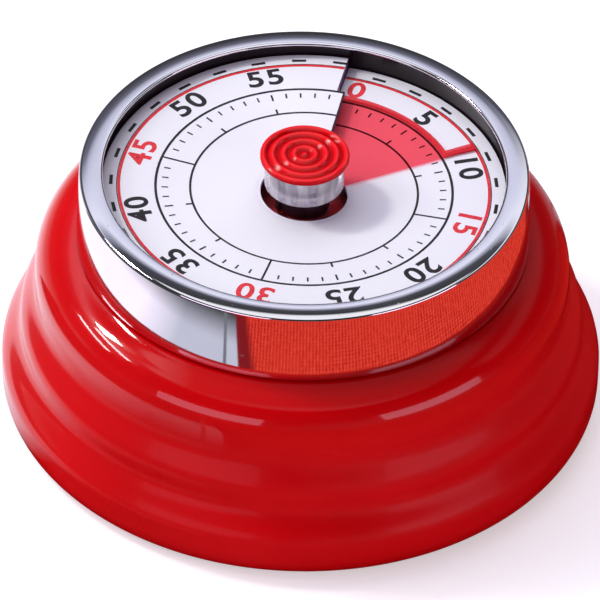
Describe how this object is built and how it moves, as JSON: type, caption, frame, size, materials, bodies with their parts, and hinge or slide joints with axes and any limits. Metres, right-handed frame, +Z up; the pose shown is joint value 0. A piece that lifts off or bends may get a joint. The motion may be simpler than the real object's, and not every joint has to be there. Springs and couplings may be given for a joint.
{
  "type": "visual countdown timer",
  "caption": "Round wind-up countdown timer with an enamelled steel body, chrome ring, spiral dial and a red disc that climbs through the dial's slit to show the time left.",
  "frame": {"origin": "centre of the resting face, where the magnet and the rolled foot touch the table", "axes": "+Z up through the knob, +Y towards the dial's 0 mark, +X towards its 15 mark"},
  "size_m": [0.07, 0.07, 0.0345],
  "materials": {
    "enamel": "high gloss",
    "chrome": "mirror",
    "dial_white": "satin",
    "disc_red": "satin",
    "knob_red": "gloss",
    "clear_plastic": "clear",
    "plated_steel": "zinc plated",
    "steel": "ground",
    "spring_steel": "blued",
    "plate_steel": "pressed",
    "brass": "stamped",
    "bell_steel": "nickel plated",
    "black_plastic": "fine grain",
    "magnet_black": "matte"
  },
  "bodies": {
    "root": {"body_shell": "enamel", "chrome_ring": "chrome", "dial": "dial_white", "mainspring": "spring_steel", "front_plate": "plate_steel", "back_plate": "plate_steel", "pillars": "plated_steel", "plate_nuts": "plated_steel", "deck_screws": "plated_steel", "hammer_spring": "spring_steel", "bell": "bell_steel", "bell_post": "plated_steel", "bell_screw": "plated_steel", "back_cover": "black_plastic", "cover_posts": "plated_steel", "cover_screws": "plated_steel", "magnet": "magnet_black"},
    "spindle": {"knob_cap": "knob_red", "knob_stem": "clear_plastic", "drive_hub": "black_plastic", "stem_washer": "plated_steel", "main_arbor": "steel", "arbor_clip": "plated_steel", "great_wheel": "brass", "clutch_spring": "spring_steel", "trip_cam": "brass"},
    "disc": {"time_disc": "disc_red"},
    "second": {"second_wheel": "brass", "second_arbor": "steel"},
    "third": {"third_wheel": "brass", "third_arbor": "steel"},
    "escape": {"escape_wheel": "brass", "escape_arbor": "steel"},
    "balance": {"pallet_lever": "steel", "balance_wheel": "brass", "balance_arbor": "steel"},
    "alarm": {"alarm_wheel": "brass", "alarm_arbor": "steel"},
    "hammer": {"hammer": "brass", "hammer_arbor": "steel"}
  },
  "joints": [
    {"name": "setting_turn", "type": "hinge", "parent": "root", "child": "spindle", "pos_m": [0, 0, 0.02], "axis": [0, 0, -1], "range_deg": [-49.2, 307.2]},
    {"name": "disc_climb", "type": "slide", "parent": "spindle", "child": "disc", "axis": [0, 0, 1], "range_m": [-0.00019, 0.0012]},
    {"name": "second_turn", "type": "hinge", "parent": "root", "child": "second", "pos_m": [-0.01353, -0.00493, 0.02], "axis": [0, 0, -1], "continuous": true},
    {"name": "third_turn", "type": "hinge", "parent": "root", "child": "third", "pos_m": [-0.01349, 0.00505, 0.02], "axis": [0, 0, -1], "continuous": true},
    {"name": "escape_turn", "type": "hinge", "parent": "root", "child": "escape", "pos_m": [-0.00971, 0.01371, 0.02], "axis": [0, 0, -1], "continuous": true},
    {"name": "alarm_turn", "type": "hinge", "parent": "root", "child": "alarm", "pos_m": [0.01271, -0.00676, 0.02], "axis": [0, 0, -1], "continuous": true},
    {"name": "balance_swing", "type": "hinge", "parent": "root", "child": "balance", "pos_m": [-0.00308, 0.01723, 0.02], "axis": [0, 0, -1], "range_deg": [-6, 6]},
    {"name": "hammer_swing", "type": "hinge", "parent": "root", "child": "hammer", "pos_m": [0.00372, -0.01298, 0.02], "axis": [0, 0, -1], "range_deg": [0, 12], "stiffness_Nm_per_rad": 0.002, "springref_deg": -11.46}
  ],
  "couplings": [
    {"joint": "disc_climb", "follows": "setting_turn", "m_per_rad": 0.00022282},
    {"joint": "second_turn", "follows": "setting_turn", "ratio": -5},
    {"joint": "third_turn", "follows": "setting_turn", "ratio": 26.667},
    {"joint": "escape_turn", "follows": "setting_turn", "ratio": -160},
    {"joint": "alarm_turn", "follows": "setting_turn", "ratio": -5}
  ]
}
